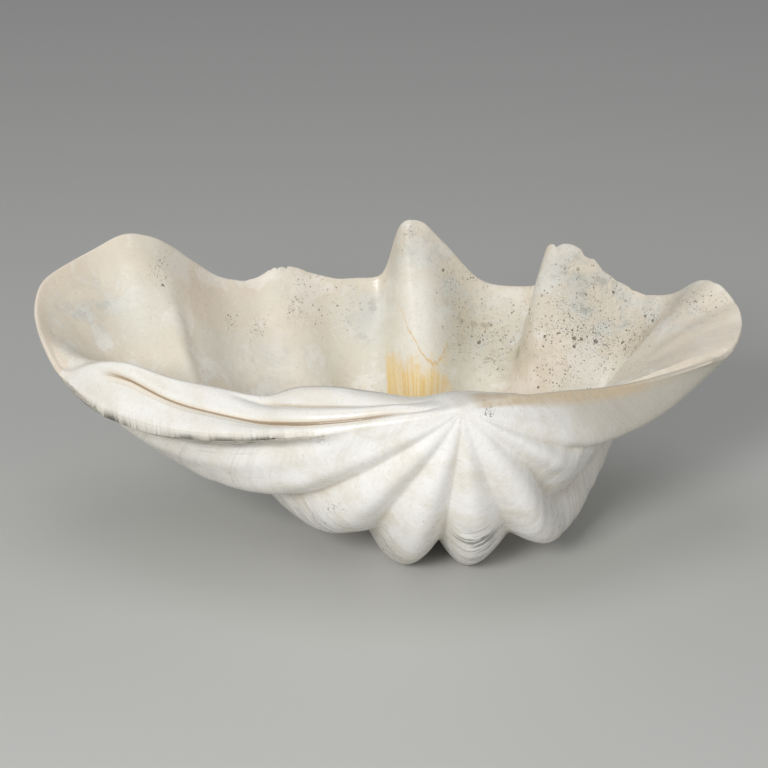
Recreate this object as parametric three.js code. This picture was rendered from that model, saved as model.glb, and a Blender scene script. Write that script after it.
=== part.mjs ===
// One valve of a fossil giant clam, lying open side up on its rib crests.
// Millimetres, +Z up, long axis along X, hinge side towards -Y.
// The shell is a fan of seven ribs that spreads from the beak. A place on it is (q, t):
// q runs across the fan from the left end of the hinge edge (0) to the right end (7),
// with a rib crest at every half number and a groove at 1 to 6;
// t runs from the beak (0) to the rim (1).

import * as THREE from 'three';

const RIBS = 7;
const STEPS_PER_RIB = 12;
const STEPS_TO_RIM = 21;
const STEP_EASE = 1.1;

const BEAK = [73, -190, 190];
const HINGE = [52, -146, 189];
const BOWL_CENTRE = [30, 20, 200];

// Depth in mm that is cut from the lowest ribs so that the shell lies still.
const FLOOR = -11;

// The wall in mm at the rim and in the body, and how far the inside's ribs reach against the outside's.
const RIM_WALL = 7;
const BODY_WALL = 28;
const INNER_REACH = 0.8;

// Where the ribs fan out from the beak: t at which the spread begins to fade, and ends.
const SPREAD_FADE = [0.12, 0.45];

// The folds: how far from the beak they reach their depth, how wide they are, and
// the share of the depth that is reached at the rim.
const FOLD_REACH = 0.42;
const FOLD_WIDTH = 0.575;
const FOLD_AT_RIM = 0.9075;

// How blunt the grooves of the outside and the ridges of the inside are, and what the beak adds.
const GROOVE_BLUNT = 0.012;
const RIDGE_BLUNT = 0.12;
const BEAK_BLUNT = 0.1;

// The hollow under the left edge of the hinge plate: q, width in q, depth in mm.
const UNDERCUT = { q: 0.15, width: 0.09, depth: 9 };

// The greatest rounding of the band between outside and inside, in mm and as a share of its width.
const EDGE_ROUND = 4;
const EDGE_SHARE = 0.3;

// The rim without its peaks: q, point.
const RIM_LINE = [
  [0, [-317, -62, 171]],
  [0.12, [-335, -35, 190]],
  [0.25, [-349, 8, 207]],
  [0.4, [-346, 48, 228]],
  [0.55, [-325, 76, 238]],
  [1.5, [-156, 170, 188]],
  [2.5, [-41, 195, 182]],
  [3.5, [132, 191, 174]],
  [4.5, [282, 135, 184]],
  [5.5, [356, 45, 204]],
  [5.75, [358, 20, 195]],
  [6, [352, -3, 188]],
  [6.5, [338, -30, 181]],
  [7, [320, -50, 182]],
];

// The rib crests and the two hinge edges: q, how each leaves the beak, how it meets the rim.
const RIB_LINES = [
  [0, [-150, -25, -22], [-72, 88, 60]],
  [0.5, [-195, -50, -105], [-90, 70, 236]],
  [1.5, [-135, -50, -203], [-30, 140, 224]],
  [2.5, [-52, -50, -254], [-34, 124, 289]],
  [3.5, [22, -42, -262], [62, 128, 270]],
  [4.5, [95, -30, -232], [88, 110, 222]],
  [5.5, [138, -15, -150], [166, 45, 100]],
  [6.5, [128, 12, -46], [84, 40, 72]],
  [7, [80, 40, 8], [110, 45, 25]],
];

// The ribs spread fast as they leave the beak: q at the rim, and q at the beak.
const BEAK_SPREAD = [
  [0, 0],
  [1, 0.8],
  [1.5, 1.22],
  [2, 1.65],
  [2.5, 2.2],
  [3, 2.9],
  [3.5, 3.6],
  [4, 4.3],
  [4.5, 5.05],
  [5, 5.6],
  [5.5, 6.05],
  [6, 6.35],
  [6.5, 6.65],
  [7, 7],
];

// The inside has no valley behind the last, smallest rib.
const INNER_LINES = RIB_LINES.filter((line) => line[0] !== 6.5);

// The grooves, each ending in a peak of the rim: the powers of its left and right sides,
// the share of its top that is flat, and the depth of the groove.
const GROOVES = [
  { q: 1, peak: [-250, 122, 255], left: 2.2, right: 1.5, flat: 0.05, depth: 34 },
  { q: 2, peak: [-107, 184, 198], left: 1.3, right: 1.3, flat: 0.05, depth: 34 },
  { q: 3, peak: [30, 190, 248], left: 4, right: 2, flat: 0.03, depth: 46 },
  { q: 4, peak: [187, 174, 227], left: 3, right: 1.9, flat: 0.08, depth: 40 },
  { q: 5, peak: [329, 86, 217], left: 1.5, right: 1.2, flat: 0.05, depth: 26 },
  { q: 6, peak: [352, -3, 188], left: 1, right: 1, flat: 0, depth: 18 },
];
const GENTLE_SIDE = 1.4;

// The inside's ridges over the first five grooves are lower and rounder.
const RIDGE_HEIGHTS = [34, 31, 37, 19, 12];
const RIDGES = RIDGE_HEIGHTS.map((height, i) => ({ q: GROOVES[i].q, depth: height }));

// How far their crests stray across the fan towards the floor of the bowl: q, stray.
const RIDGE_STRAY = [
  [0, 0],
  [1, -0.12],
  [2, 0],
  [3, 0],
  [4, 0.14],
  [5, 0.06],
  [7, 0],
];

// The hinge plate: t, its inner edge, and the shares of its width where
// the ligament groove and the groove of the tooth run.
const PLATE = [
  [0, [52, -146, 189], 0.25, 0.625],
  [0.1, [14, -142, 181], 0.2, 0.5],
  [0.17, [-16, -138, 184], 0.18, 0.46],
  [0.25, [-44, -134, 188], 0.18, 0.5],
  [0.33, [-80, -130, 187], 0.22, 0.57],
  [0.4, [-108, -124, 174], 0.34, 0.78],
  [0.5, [-156, -112, 180], 0.46, 0.9],
  [0.62, [-202, -98, 185], 0.58, 0.93],
  [0.75, [-250, -82, 196], 0.74, 0.95],
  [0.86, [-281, -72, 191], 0.86, 0.96],
  [1, [-311, -59, 173], 0.86, 0.96],
];
const STRIP_ROWS = 2;
const RIDGE_ROWS = 3;
const TOOTH_ROWS = 3;
const STRIP_HEIGHT = 3;
const RIDGE_HEIGHT = 6.5;
const TOOTH_HEIGHT = 6;

// Small sums on points and numbers.

const add = (a, b, k = 1) => a.map((value, i) => value + b[i] * k);
const sub = (a, b) => add(a, b, -1);
const scale = (a, k) => a.map((value) => value * k);
const mix = (a, b, share) => add(scale(a, 1 - share), b, share);
const dot = (a, b) => a[0] * b[0] + a[1] * b[1] + a[2] * b[2];
const length = (a) => Math.hypot(...a);
const unit = (a) => scale(a, 1 / Math.max(length(a), 1e-9));
const cross = (a, b) => [
  a[1] * b[2] - a[2] * b[1],
  a[2] * b[0] - a[0] * b[2],
  a[0] * b[1] - a[1] * b[0],
];
const clamp = (x, low, high) => Math.min(Math.max(x, low), high);

// A soft step from 0 at a to 1 at b.
function soft(a, b, x) {
  const u = clamp((x - a) / (b - a), 0, 1);
  return u * u * (3 - 2 * u);
}

// A smooth curve through one column of a table, at x.
function curve(table, column, x) {
  const last = table.length - 1;
  const at = clamp(x, table[0][0], table[last][0]);
  const value = (i) => [table[i][column]].flat();
  const gap = (i) => table[i + 1][0] - table[i][0];
  const slope = (i) => scale(sub(value(i + 1), value(i)), 1 / gap(i));
  const tangent = (i) => {
    if (i === 0) return slope(0);
    if (i === last) return slope(last - 1);
    return mix(slope(i - 1), slope(i), gap(i - 1) / (gap(i - 1) + gap(i)));
  };
  let i = 0;
  while (i < last - 1 && at >= table[i + 1][0]) i += 1;
  const u = (at - table[i][0]) / gap(i);
  let point = scale(value(i), (1 + 2 * u) * (1 - u) ** 2);
  point = add(point, tangent(i), gap(i) * u * (1 - u) ** 2);
  point = add(point, value(i + 1), u * u * (3 - 2 * u));
  return add(point, tangent(i + 1), gap(i) * u * u * (u - 1));
}

function bezier(a, b, c, d, t) {
  const s = 1 - t;
  let point = scale(a, s ** 3);
  point = add(point, b, 3 * s * s * t);
  point = add(point, c, 3 * s * t * t);
  return add(point, d, t ** 3);
}

// The plain shell, without folds.

function plainOutside(q, t) {
  const at = q + (curve(BEAK_SPREAD, 1, q)[0] - q) * (1 - soft(...SPREAD_FADE, t));
  const end = curve(RIM_LINE, 1, at);
  const first = add(BEAK, curve(RIB_LINES, 1, at));
  return bezier(BEAK, first, sub(end, curve(RIB_LINES, 2, at)), end, t);
}

function plainInside(q, t) {
  const end = curve(RIM_LINE, 1, q);
  const first = add(HINGE, curve(INNER_LINES, 1, q), INNER_REACH);
  const low = sub(end, curve(INNER_LINES, 2, q));
  const raised = add(low, unit(sub(BOWL_CENTRE, low)), BODY_WALL);
  return bezier(HINGE, first, raised, end, t);
}

// The direction square to a surface, towards the bowl.
function inward(surface, q, t) {
  const e = 4e-3;
  const a = clamp(q, e, RIBS - e);
  const b = clamp(t, 0.02, 1 - e);
  const acrossRibs = sub(surface(a + e, b), surface(a - e, b));
  const toRim = sub(surface(a, b + e), surface(a, b - e));
  return unit(cross(acrossRibs, toRim));
}

// How far the folded shell lies behind its rib crests.
function foldDepth(folds, bluntness, q, t) {
  const fold = folds.find((f) => Math.abs(q - f.q) < 0.5);
  if (!fold) return 0;
  const blunt = bluntness + BEAK_BLUNT * (1 - soft(0.04, 0.24, t));
  const share = 1 - ((Math.sin(Math.PI * q) ** 2 + blunt) / (1 + blunt)) ** FOLD_WIDTH;
  return (fold.depth * share * (1 - Math.exp(-t / FOLD_REACH))) / FOLD_AT_RIM;
}

// The rim with its peaks. Where they aren't steep, they are wide and stand straight up.
function rim(q, steep) {
  let point = curve(RIM_LINE, 1, q);
  for (const g of GROOVES) {
    const off = clamp((Math.abs(q - g.q) * 2 - g.flat) / (1 - g.flat), 0, 1);
    const side = q < g.q ? g.left : g.right;
    const share = ((1 + Math.cos(Math.PI * off)) / 2) ** (steep ? side : Math.min(side, GENTLE_SIDE));
    let rise = sub(g.peak, curve(RIM_LINE, 1, g.q));
    if (!steep) {
      const ahead = unit(sub(curve(RIM_LINE, 1, g.q + 0.1), curve(RIM_LINE, 1, g.q - 0.1)));
      rise = add(rise, ahead, -dot(rise, ahead));
    }
    point = add(point, rise, share);
  }
  return point;
}

// Bends a folded surface so that it ends on the rim: gently below it, and steeply at its edge.
function towardsRim(point, end, q, t) {
  const gentle = rim(q, false);
  const bent = add(point, sub(gentle, end), soft(0.45, 1, t) ** 1.5);
  return add(bent, sub(rim(q, true), gentle), soft(0.72, 1, t) ** 1.5);
}

// How deep the hollow under the left edge is.
function undercut(q, t) {
  const across = Math.exp(-(((q - UNDERCUT.q) / UNDERCUT.width) ** 2));
  return UNDERCUT.depth * across * soft(0.2, 0.4, t) * (1 - soft(0.8, 0.97, t));
}

function outside(q, t) {
  const depth = foldDepth(GROOVES, GROOVE_BLUNT, q, t) + undercut(q, t);
  const folded = add(plainOutside(q, t), inward(plainOutside, q, t), depth);
  const endDepth = foldDepth(GROOVES, GROOVE_BLUNT, q, 1);
  const end = add(plainOutside(q, 1), inward(plainOutside, q, 1), endDepth);
  const point = towardsRim(folded, end, q, t);
  return [point[0], point[1], Math.max(point[2], FLOOR)];
}

function insideFolded(q, t) {
  const share = 0.5 + 0.5 * soft(0.15, 0.7, t);
  const plain = inward(plainInside, q, t);
  const square = mix(plain, inward(outside, q, t), soft(0.5, 0.85, t));
  const strayed = q - curve(RIDGE_STRAY, 1, q)[0] * (1 - soft(0.76, 0.97, t));
  const depth = share * foldDepth(RIDGES, RIDGE_BLUNT, strayed, t);
  const valley = add(plainInside(q, t), plain, depth);
  const folded = add(valley, square, RIM_WALL * soft(0, 0.3, t));
  const endDepth = foldDepth(RIDGES, RIDGE_BLUNT, q, 1);
  const end = add(plainInside(q, 1), inward(plainInside, q, 1), endDepth);
  return towardsRim(folded, end, q, t);
}

// The inside, drawn out on the left to the edge of the hinge plate and on the right to a thin lip.
function inside(q, t) {
  const toPlate = sub(curve(PLATE, 1, t), insideFolded(0, t));
  const away = soft(0, 0.3, t);
  const lip = add(add(outside(RIBS, t), [0, RIM_WALL, 0], away), sub(HINGE, BEAK), 1 - away);
  const toLip = sub(lip, insideFolded(RIBS, t));
  const point = add(insideFolded(q, t), toPlate, 1 - soft(0, 0.55, q) ** 0.8);
  return add(point, toLip, soft(6, RIBS, q));
}

// Height over the plain hinge plate at a share w of its width.
function plateRelief(t, w, ligament, tooth) {
  const a = clamp(w / ligament, 0, 1);
  const b = clamp((w - ligament) / (tooth - ligament), 0, 1);
  const c = clamp((w - tooth) / (1 - tooth), 0, 1);
  const strip = STRIP_HEIGHT * Math.sin(Math.PI * a);
  const ridge = RIDGE_HEIGHT * Math.max(Math.sin(Math.PI * b), 0) ** 0.7;
  const bump = TOOTH_HEIGHT * Math.sin(0.65 * Math.PI * c) ** 0.8 * (1 - soft(0.38, 0.5, t));
  return (strip + ridge + bump) * soft(0.02, 0.14, t) * (1 - soft(0.84, 0.95, t));
}

// Builds the closed shell: the outside, the inside, and the band of rim and hinge plate.
function shellGeometry() {
  const points = [];
  const triangles = [];
  const across = RIBS * STEPS_PER_RIB;

  const place = (point) => points.push(point) - 1;
  const quad = (a, b, c, d) => {
    if (a !== b) triangles.push(a, b, c);
    triangles.push(a, c, d);
  };

  // One side as columns of point numbers, column by column across the fan.
  const side = (surface, pole) => {
    const top = place(pole);
    const columns = [];
    for (let i = 0; i <= across; i += 1) {
      const column = [top];
      for (let j = 1; j <= STEPS_TO_RIM; j += 1) {
        column.push(place(surface(i / STEPS_PER_RIB, (j / STEPS_TO_RIM) ** STEP_EASE)));
      }
      columns.push(column);
    }
    return columns;
  };
  const out = side(outside, BEAK);
  const inn = side(inside, HINGE);
  for (let i = 0; i < across; i += 1) {
    for (let j = 0; j < STEPS_TO_RIM; j += 1) {
      quad(inn[i][j], inn[i + 1][j], inn[i + 1][j + 1], inn[i][j + 1]);
      if (j > 0) triangles.push(out[i][j], out[i][j + 1], out[i + 1][j]);
      triangles.push(out[i + 1][j], out[i][j + 1], out[i + 1][j + 1]);
    }
  }

  // The edge that both sides share, once round: hinge plate, right lip, rim.
  const loop = [];
  for (let j = STEPS_TO_RIM; j >= 0; j -= 1) {
    loop.push({ o: out[0][j], i: inn[0][j], t: (j / STEPS_TO_RIM) ** STEP_EASE, plate: 1 });
  }
  for (let j = 1; j <= STEPS_TO_RIM; j += 1) {
    loop.push({ o: out[across][j], i: inn[across][j], t: 0, plate: 0 });
  }
  for (let i = across - 1; i > 0; i -= 1) {
    loop.push({ o: out[i][STEPS_TO_RIM], i: inn[i][STEPS_TO_RIM], t: 0, plate: 0 });
  }

  const bands = loop.map((spot, k) => {
    const next = loop[(k + 1) % loop.length];
    const before = loop[(k + loop.length - 1) % loop.length];
    const middle = (s) => add(points[s.o], points[s.i]);
    const along = unit(sub(middle(next), middle(before)));
    const over = sub(points[spot.i], points[spot.o]);
    const up = unit(cross(along, unit(over)));
    const ligament = curve(PLATE, 2, spot.t)[0];
    const tooth = curve(PLATE, 3, spot.t)[0];
    const row = [spot.o];
    const rise = (w) => {
      const height = Math.min(length(over) * EDGE_SHARE, EDGE_ROUND);
      const round = Math.sqrt(Math.max(1 - (2 * w - 1) ** 2, 0)) * height;
      const lift = round + spot.plate * plateRelief(spot.t, w, ligament, tooth);
      row.push(place(add(add(points[spot.o], over, w), up, lift)));
    };
    for (let r = 1; r <= STRIP_ROWS; r += 1) rise(ligament * (r / STRIP_ROWS));
    for (let r = 1; r <= RIDGE_ROWS; r += 1) rise(ligament + (tooth - ligament) * (r / RIDGE_ROWS));
    for (let r = 1; r < TOOTH_ROWS; r += 1) rise(tooth + (1 - tooth) * (r / TOOTH_ROWS));
    row.push(spot.i);
    return row;
  });
  bands.forEach((row, k) => {
    const next = bands[(k + 1) % bands.length];
    for (let r = 0; r < row.length - 1; r += 1) {
      triangles.push(row[r], next[r], next[r + 1]);
      triangles.push(row[r], next[r + 1], row[r + 1]);
    }
  });

  const geometry = new THREE.BufferGeometry();
  geometry.setAttribute('position', new THREE.Float32BufferAttribute(points.flat(), 3));
  geometry.setIndex(triangles);
  return geometry;
}

// The middle of the underside of the bounding box goes to the origin.
const geometry = shellGeometry();
geometry.computeBoundingBox();
const middle = geometry.boundingBox.getCenter(new THREE.Vector3());
geometry.translate(-middle.x, -middle.y, -geometry.boundingBox.min.z);
geometry.computeVertexNormals();

const material = new THREE.MeshStandardMaterial({ color: 0xe9e2d4, roughness: 0.35, metalness: 0 });
material.name = 'polished_shell';
const valve = new THREE.Mesh(geometry, material);
valve.name = 'clam_valve';

const part = new THREE.Group();
part.name = 'fossil_clam_valve';
part.add(valve);

export default part;
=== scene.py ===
import math

import bpy
import numpy as np
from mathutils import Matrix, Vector


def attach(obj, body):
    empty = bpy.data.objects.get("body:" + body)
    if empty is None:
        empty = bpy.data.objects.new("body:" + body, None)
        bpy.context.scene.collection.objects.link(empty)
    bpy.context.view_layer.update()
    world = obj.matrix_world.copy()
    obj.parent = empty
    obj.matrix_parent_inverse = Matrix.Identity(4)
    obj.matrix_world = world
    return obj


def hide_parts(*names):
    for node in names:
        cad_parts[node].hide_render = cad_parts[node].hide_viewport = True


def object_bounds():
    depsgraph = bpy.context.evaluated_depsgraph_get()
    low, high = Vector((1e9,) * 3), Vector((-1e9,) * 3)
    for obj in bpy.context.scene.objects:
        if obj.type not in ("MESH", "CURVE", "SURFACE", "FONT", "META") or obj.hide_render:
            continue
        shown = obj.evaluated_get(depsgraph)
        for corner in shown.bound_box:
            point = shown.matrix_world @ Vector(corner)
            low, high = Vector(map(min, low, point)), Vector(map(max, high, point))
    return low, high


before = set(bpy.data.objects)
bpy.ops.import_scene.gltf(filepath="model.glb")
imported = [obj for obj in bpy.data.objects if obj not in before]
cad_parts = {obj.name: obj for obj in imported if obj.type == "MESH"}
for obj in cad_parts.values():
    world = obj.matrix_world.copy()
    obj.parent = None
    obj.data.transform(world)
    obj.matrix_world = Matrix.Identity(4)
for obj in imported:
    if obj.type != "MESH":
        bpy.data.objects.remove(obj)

cad_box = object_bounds()

# The shell's form, in millimetres. A point of either surface is (fan, reach): fan runs across
# the ribs, 0 at the left hinge edge to 7 at the right lip with rib crests at the half numbers,
# and reach runs from 0 at the beak to 1 at the rim.
BEAK = np.array([73.0, -190.0, 190.0])
HINGE = np.array([52.0, -146.0, 189.0])
BOWL_CENTRE = np.array([30.0, 20.0, 200.0])
FLOOR = -11.0
RIM_WALL = 7.0
BODY_WALL = 28.0
INNER_REACH = 0.8
LAST_FAN = 7.0
# from the form's own centre to the part's origin, the middle of its box at the floor
TO_FRAME = np.array([-4.7274, -0.1096, 11.0])
MM = 0.001

# reach over which the ribs' first spread fades
SPREAD_FADE = (0.12, 0.45)
# the folds: reach in which they grow deep, how wide they are, share of the depth that is
# reached at the rim
FOLD_REACH = 0.42
FOLD_WIDTH = 0.575
FOLD_AT_RIM = 0.9075
# how blunt the grooves outside and the ridges inside are, and what the beak adds
GROOVE_BLUNT = 0.012
RIDGE_BLUNT = 0.12
BEAK_BLUNT = 0.1
BEAK_BLUNT_FADE = (0.04, 0.24)
# the hollow under the left edge of the hinge plate
UNDERCUT_FAN = 0.15
UNDERCUT_WIDTH = 0.09
UNDERCUT_DEPTH = 9.0
UNDERCUT_STARTS = (0.2, 0.4)
UNDERCUT_ENDS = (0.8, 0.97)
# the greatest rounding of the band between the surfaces, in mm and as a share of its width
EDGE_ROUND = 4.0
EDGE_SHARE = 0.3
# how the wall thickens away from the beak, and the share of it that is lost close to the rim
WALL_GROWS = (0, 0.3)
RIM_THINNING = 0.45
RIM_THINS = (0.9, 1)
# the rim's peaks run into the surface below them, the gentle part further than the steep part
GENTLE_SIDE = 1.4
GENTLE_BEND = (0.45, 1.0)
STEEP_BEND = (0.72, 1.0)
BEND_POWER = 1.5

# fan, point of the rim without its peaks
RIM_LINE = [
    (0.0, (-317, -62, 171)),
    (0.12, (-335, -35, 190)),
    (0.25, (-349, 8, 207)),
    (0.4, (-346, 48, 228)),
    (0.55, (-325, 76, 238)),
    (1.5, (-156, 170, 188)),
    (2.5, (-41, 195, 182)),
    (3.5, (132, 191, 174)),
    (4.5, (282, 135, 184)),
    (5.5, (356, 45, 204)),
    (5.75, (358, 20, 195)),
    (6.0, (352, -3, 188)),
    (6.5, (338, -30, 181)),
    (7.0, (320, -50, 182)),
]
# fan, direction in which the rib leaves the beak, direction in which it meets the rim
RIB_LINES = [
    (0.0, (-150, -25, -22), (-72, 88, 60)),
    (0.5, (-195, -50, -105), (-90, 70, 236)),
    (1.5, (-135, -50, -203), (-30, 140, 224)),
    (2.5, (-52, -50, -254), (-34, 124, 289)),
    (3.5, (22, -42, -262), (62, 128, 270)),
    (4.5, (95, -30, -232), (88, 110, 222)),
    (5.5, (138, -15, -150), (166, 45, 100)),
    (6.5, (128, 12, -46), (84, 40, 72)),
    (7.0, (80, 40, 8), (110, 45, 25)),
]
# the inside has no valley behind the last, smallest rib
SMALLEST_RIB = 6.5
INNER_LINES = [line for line in RIB_LINES if line[0] != SMALLEST_RIB]
# fan of a rib or groove at the rim, and the fan that it leaves the beak at
BEAK_SPREAD = [
    (0.0, 0.0),
    (1.0, 0.8),
    (1.5, 1.22),
    (2.0, 1.65),
    (2.5, 2.2),
    (3.0, 2.9),
    (3.5, 3.6),
    (4.0, 4.3),
    (4.5, 5.05),
    (5.0, 5.6),
    (5.5, 6.05),
    (6.0, 6.35),
    (6.5, 6.65),
    (7.0, 7.0),
]
# fan of a groove, the rim's peak over it, powers of its left and right sides, flat share, depth
GROOVES = [
    (1, (-250, 122, 255), 2.2, 1.5, 0.05, 34),
    (2, (-107, 184, 198), 1.3, 1.3, 0.05, 34),
    (3, (30, 190, 248), 4.0, 2.0, 0.03, 46),
    (4, (187, 174, 227), 3.0, 1.9, 0.08, 40),
    (5, (329, 86, 217), 1.5, 1.2, 0.05, 26),
    (6, (352, -3, 188), 1.0, 1.0, 0.0, 18),
]
GROOVE_DEPTHS = [(groove[0], groove[5]) for groove in GROOVES]
# the inside's ridges over the first five grooves are lower: fan, height
RIDGE_HEIGHTS = [(1, 34), (2, 31), (3, 37), (4, 19), (5, 12)]
# how far the ridges' crests stray across the fan towards the floor of the bowl: fan, stray
RIDGE_STRAY = [(0.0, 0.0), (1.0, -0.12), (2.0, 0.0), (3.0, 0.0), (4.0, 0.14), (5.0, 0.06), (7.0, 0.0)]
STRAY_FADE = (0.76, 0.97)
# reach, inner edge of the hinge plate, shares of its width at the ligament and tooth grooves
PLATE = [
    (0.0, (52, -146, 189), 0.25, 0.625),
    (0.10, (14, -142, 181), 0.20, 0.50),
    (0.17, (-16, -138, 184), 0.18, 0.46),
    (0.25, (-44, -134, 188), 0.18, 0.50),
    (0.33, (-80, -130, 187), 0.22, 0.57),
    (0.40, (-108, -124, 174), 0.34, 0.78),
    (0.50, (-156, -112, 180), 0.46, 0.90),
    (0.62, (-202, -98, 185), 0.58, 0.93),
    (0.75, (-250, -82, 196), 0.74, 0.95),
    (0.86, (-281, -72, 191), 0.86, 0.96),
    (1.0, (-311, -59, 173), 0.86, 0.96),
]
STRIP_HEIGHT = 3.0
RIDGE_HEIGHT = 6.5
TABLE_HEIGHT = 4.5
TOOTH_HEIGHT = 6.0
# reach at which the ridge and tooth give way to a flat table, and where the relief starts and ends
TOOTH_ENDS = (0.38, 0.5)
RELIEF_STARTS = (0.02, 0.14)
RELIEF_ENDS = (0.84, 0.95)

# mesh steps: across the fan, those of them that its left edge takes, and along the reach
FAN_STEPS = 390
EDGE_STEPS = 46
EDGE_FAN = 0.45
REACH_STEPS = 108
REACH_POWER = 1.1
# the inside's steps crowd towards the rim: share of the steps, reach
INNER_STEPS = ((0, 0.4, 1), (0, 0.72, 1))
# rows over the hinge plate's strip, ridge and tooth, which crowd round the ligament groove
PLATE_ROWS = (7, 9, 7)
PLATE_CROWDING = (lambda u: 1 - (1 - u) ** 1.7, lambda u: u ** 1.5, lambda u: u)
# distance from the plate's grooves, in mm, that stands for being off the plate
OFF_PLATE = 99.0

# chips of the rim: fan, width in fan, depth as a share of the reach
CHIPS = [(2.0, 0.16, 0.004), (4.06, 0.2, 0.010), (2.75, 0.06, 0.003)]
SMALL_CHIPS = 0.003
# lumps of the surfaces: size and height in mm, seed
OUTER_LUMPS = [(46, 1.2, 24), (17, 0.45, 25)]
INNER_LUMPS = [(55, 0.9, 31), (19, 0.35, 32), (8, 0.15, 33)]
# growth steps outside: how many from beak to rim, how far they wander, height in mm
GROWTH_STEPS = 34
GROWTH_WANDER = 0.5
GROWTH_HEIGHT = 0.55
FINE_GROWTH_HEIGHT = 0.35
# thin leaves of the frayed edge, in mm
LEAF_HEIGHT = 0.6
LONG_LEAF_HEIGHT = 2.0
FRAYED_FAN = (0.02, 0.2)
FRAYED_STARTS = (0.2, 0.46)
FRAYED_ENDS = (0.92, 0.99)
# the crest on the first ridge of the inside: fan and reach of a point on it, its slope across
# the fan, width in fan, height in mm
CREST_FAN = 0.87
CREST_REACH = 0.77
CREST_SLOPE = 0.98
CREST_WIDTH = 0.06
CREST_HEIGHT = 3.6
# the ligament groove is cut into the plate, with a finer line beside it: mm
CUT_DEPTH = 1.3
CUT_WIDTH = 1.6
LINE_AT = -6.0
LINE_DEPTH = 0.7
LINE_WIDTH = 1.8
# the left end is worn smooth: place and radius in mm, rounds of smoothing
WORN_END = (-300, -60, 178)
WORN_RADIUS = (38, 34, 30)
WORN_ROUNDS = 30
# share of the grooves that is filled in close to the beak, and reach over which it fades
BEAK_FILL = 0.75
BEAK_FILL_FADE = (0.015, 0.1)


def curve(table, column, at):
    """A smooth curve through one column of a table."""
    keys = np.array([row[0] for row in table], float)
    values = np.array([row[column] for row in table], float)
    flat = values.ndim == 1
    if flat:
        values = values[:, None]
    at = np.clip(np.asarray(at, float), keys[0], keys[-1])
    gap = np.diff(keys)
    slope = np.diff(values, axis=0) / gap[:, None]
    tangent = np.empty_like(values)
    tangent[0], tangent[-1] = slope[0], slope[-1]
    before, after = gap[:-1, None], gap[1:, None]
    tangent[1:-1] = (slope[:-1] * after + slope[1:] * before) / (before + after)
    i = np.clip(np.searchsorted(keys, at, side="right") - 1, 0, len(keys) - 2)
    wide = gap[i][..., None]
    u = ((at - keys[i]) / gap[i])[..., None]
    out = (1 + 2 * u) * (1 - u) ** 2 * values[i] + u * (1 - u) ** 2 * wide * tangent[i]
    out = out + u * u * (3 - 2 * u) * values[i + 1] + u * u * (u - 1) * wide * tangent[i + 1]
    return out[..., 0] if flat else out


def ease(low, high, x):
    """0 below low, 1 above high, smooth between."""
    u = np.clip((x - low) / (high - low), 0, 1)
    return u * u * (3 - 2 * u)


def between(rise, fall, x):
    """0 before the rise, 1 between it and the fall, 0 past the fall."""
    return ease(*rise, x) * (1 - ease(*fall, x))


def unit(v):
    return v / np.maximum(np.linalg.norm(v, axis=-1, keepdims=True), 1e-9)


def bezier(a, b, c, d, t):
    t = np.asarray(t, float)[..., None]
    return (1 - t) ** 3 * a + 3 * (1 - t) ** 2 * t * b + 3 * (1 - t) * t * t * c + t ** 3 * d


def plain_outside(fan, reach):
    """The outside before it is folded."""
    fan = fan + (curve(BEAK_SPREAD, 1, fan) - fan) * (1 - ease(*SPREAD_FADE, reach))
    end = curve(RIM_LINE, 1, fan)
    return bezier(BEAK, BEAK + curve(RIB_LINES, 1, fan), end - curve(RIB_LINES, 2, fan), end, reach)


def plain_inside(fan, reach):
    """The inside before it is folded."""
    end = curve(RIM_LINE, 1, fan)
    swell = end - curve(INNER_LINES, 2, fan)
    swell = swell + BODY_WALL * unit(BOWL_CENTRE - swell)
    leave = HINGE + INNER_REACH * curve(INNER_LINES, 1, fan)
    return bezier(HINGE, leave, swell, end, reach)


def inward(surface, fan, reach):
    """A surface's normal towards the bowl."""
    step = 4e-3
    fan = np.clip(fan, step, LAST_FAN - step)
    reach = np.clip(reach, 0.02, 1 - step)
    across = surface(fan + step, reach) - surface(fan - step, reach)
    along = surface(fan, reach + step) - surface(fan, reach - step)
    return unit(np.cross(across, along))


def fold_depth(fan, reach, folds, blunt):
    """How far the folded shell lies behind its rib crests."""
    depth = np.zeros(np.broadcast(fan, reach).shape)
    for at, deep in folds:
        depth = depth + np.where(np.abs(fan - at) < 0.5, deep, 0.0)
    blunt = blunt + BEAK_BLUNT * (1 - ease(*BEAK_BLUNT_FADE, reach))
    across = 1 - ((np.sin(np.pi * fan) ** 2 + blunt) / (1 + blunt)) ** FOLD_WIDTH
    return depth * across * (1 - np.exp(-reach / FOLD_REACH)) / FOLD_AT_RIM


def groove_depth(fan, reach):
    return fold_depth(fan, reach, GROOVE_DEPTHS, GROOVE_BLUNT)


def ridge_height(fan, reach):
    return fold_depth(fan, reach, RIDGE_HEIGHTS, RIDGE_BLUNT)


def rim(fan, steep):
    """The rim with its peaks, which are gentle and stand straight up where steep is 0."""
    out = curve(RIM_LINE, 1, fan)
    for at, peak, left, right, level, _ in GROOVES:
        rise = np.array(peak, float) - curve(RIM_LINE, 1, float(at))
        ahead = unit(curve(RIM_LINE, 1, at + 0.1) - curve(RIM_LINE, 1, at - 0.1))
        rise = rise - (1 - steep) * np.dot(rise, ahead) * ahead
        away = fan - at
        u = np.clip((np.abs(away) / 0.5 - level) / (1 - level), 0, 1)
        power = np.where(away < 0, left, right)
        power = GENTLE_SIDE + (power - GENTLE_SIDE) * np.where(power > GENTLE_SIDE, steep, 1.0)
        bump = ((1 + np.cos(np.pi * u)) / 2) ** power
        out = out + bump[..., None] * rise
    return out


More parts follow.
